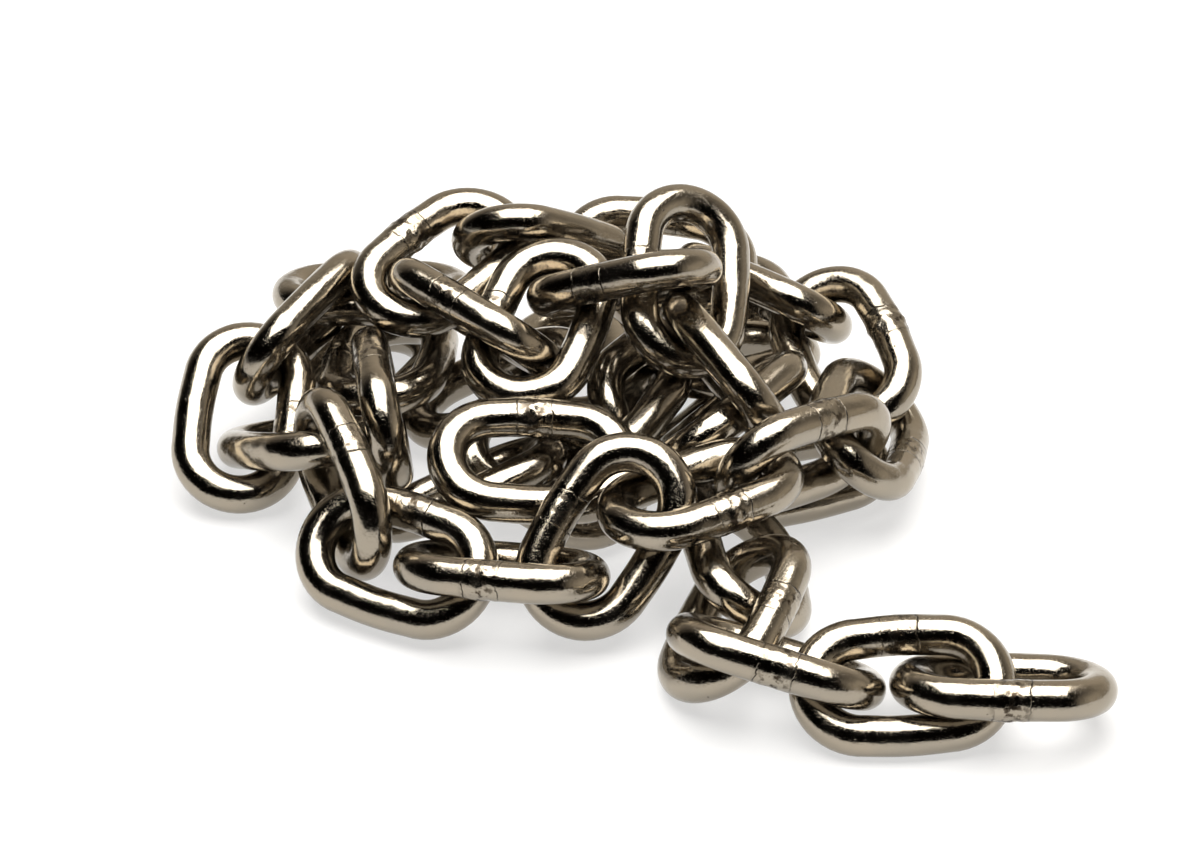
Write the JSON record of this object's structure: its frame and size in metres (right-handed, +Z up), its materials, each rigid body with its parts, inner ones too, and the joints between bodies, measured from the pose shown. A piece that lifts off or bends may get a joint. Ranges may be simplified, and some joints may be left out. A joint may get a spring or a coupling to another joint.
{
  "type": "heap of anchor chain",
  "caption": "Loose heap of polished stainless short-link anchor chain, its free end running out in front, for lying on a floor, deck or table.",
  "frame": {"origin": "centre of the heap's bounding box, on the floor that it lies on", "axes": "+Z up; +X towards the side that the loose end runs out to; -Y towards the viewer of the picture"},
  "size_m": [0.236, 0.2186, 0.0669],
  "materials": {
    "polished_stainless": "polished stainless steel, welded links"
  },
  "bodies": {
    "root": {"arch_link": "polished_stainless", "back_link": "polished_stainless", "core_link_1": "polished_stainless", "core_link_2": "polished_stainless", "core_link_3": "polished_stainless", "core_link_4": "polished_stainless", "crest_link_1": "polished_stainless", "crest_link_2": "polished_stainless", "crest_link_3": "polished_stainless", "crest_link_4": "polished_stainless", "crest_link_5": "polished_stainless", "crest_link_6": "polished_stainless", "crest_link_7": "polished_stainless", "crest_link_8": "polished_stainless", "crest_link_9": "polished_stainless", "floor_link_1": "polished_stainless", "floor_link_2": "polished_stainless", "floor_link_3": "polished_stainless", "floor_link_4": "polished_stainless", "inner_link_1": "polished_stainless", "inner_link_2": "polished_stainless", "rim_link_1": "polished_stainless", "rim_link_10": "polished_stainless", "rim_link_11": "polished_stainless", "rim_link_12": "polished_stainless", "rim_link_13": "polished_stainless", "rim_link_2": "polished_stainless", "rim_link_3": "polished_stainless", "rim_link_4": "polished_stainless", "rim_link_5": "polished_stainless", "rim_link_6": "polished_stainless", "rim_link_7": "polished_stainless", "rim_link_8": "polished_stainless", "rim_link_9": "polished_stainless", "tail_link_1": "polished_stainless", "tail_link_2": "polished_stainless", "tail_link_3": "polished_stainless", "tail_link_4": "polished_stainless", "tail_link_5": "polished_stainless", "tail_link_6": "polished_stainless"}
  },
  "joints": []
}
